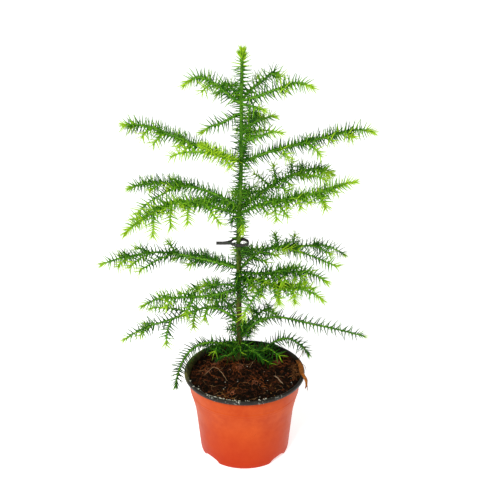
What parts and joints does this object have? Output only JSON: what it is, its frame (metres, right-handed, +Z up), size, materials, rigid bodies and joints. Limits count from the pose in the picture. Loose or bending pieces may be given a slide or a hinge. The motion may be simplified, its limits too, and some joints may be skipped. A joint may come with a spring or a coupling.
{
  "type": "potted norfolk island pine seedling",
  "caption": "Young Norfolk Island pine in a nursery pot: a slender stem with tiers of needle-clad boughs over dark peat.",
  "frame": {"origin": "the middle of the pot's flat underside", "axes": "+Z up from the pot's underside to the leader, -Y the pot's front, +X to the right seen from the front"},
  "size_m": [0.2687, 0.1878, 0.41],
  "materials": {
    "pot": "thin terracotta-coloured sheet, satin outside, black inside and on the rolled rim",
    "soil": "moist dark peat with red-brown fibres",
    "trunk_bark": "olive to green young bark under flat-lying leaf bases",
    "bough_bark": "green young shoots",
    "needles": "soft awl-shaped needles, mid green with yellow-green young tips",
    "tie": "matt dark grey-green strap"
  },
  "bodies": {
    "root": {"bough_1_left": "bough_bark", "bough_1_right": "bough_bark", "bough_2_left": "bough_bark", "bough_2_right": "bough_bark", "bough_3_left": "bough_bark", "bough_3_right": "bough_bark", "bough_4_left": "bough_bark", "bough_4_rear": "bough_bark", "bough_4_rear_right": "bough_bark", "bough_4_right": "bough_bark", "bough_5_front_left": "bough_bark", "bough_5_left": "bough_bark", "bough_5_rear": "bough_bark", "bough_5_rear_right": "bough_bark", "bough_5_right": "bough_bark", "bough_6_left": "bough_bark", "bough_6_rear": "bough_bark", "bough_6_right": "bough_bark", "needles_1_front_left": "needles", "needles_1_front_right": "needles", "needles_1_left": "needles", "needles_1_rear": "needles", "needles_1_right": "needles", "needles_2_left": "needles", "needles_2_rear": "needles", "needles_2_rear_right": "needles", "needles_2_right": "needles", "needles_3_left": "needles", "needles_3_rear_left": "needles", "needles_3_right": "needles", "needles_4_left": "needles", "needles_4_rear": "needles", "needles_4_rear_left": "needles", "needles_4_rear_right": "needles", "needles_4_right": "needles", "needles_5_front": "needles", "needles_5_front_left": "needles", "needles_5_left": "needles", "needles_5_rear": "needles", "needles_5_rear_left": "needles", "needles_5_rear_right": "needles", "needles_5_right": "needles", "needles_6_front_left": "needles", "needles_6_left": "needles", "needles_6_rear": "needles", "needles_6_right": "needles", "needles_7_front_right": "needles", "needles_7_left": "needles", "needles_7_low_right": "needles", "needles_7_right": "needles", "needles_8_left": "needles", "needles_8_rear_left": "needles", "needles_8_rear_right": "needles", "needles_8_right": "needles", "needles_leader": "needles", "pot": "pot", "soil": "soil", "stem_tie": "tie", "trunk": "trunk_bark"}
  },
  "joints": []
}
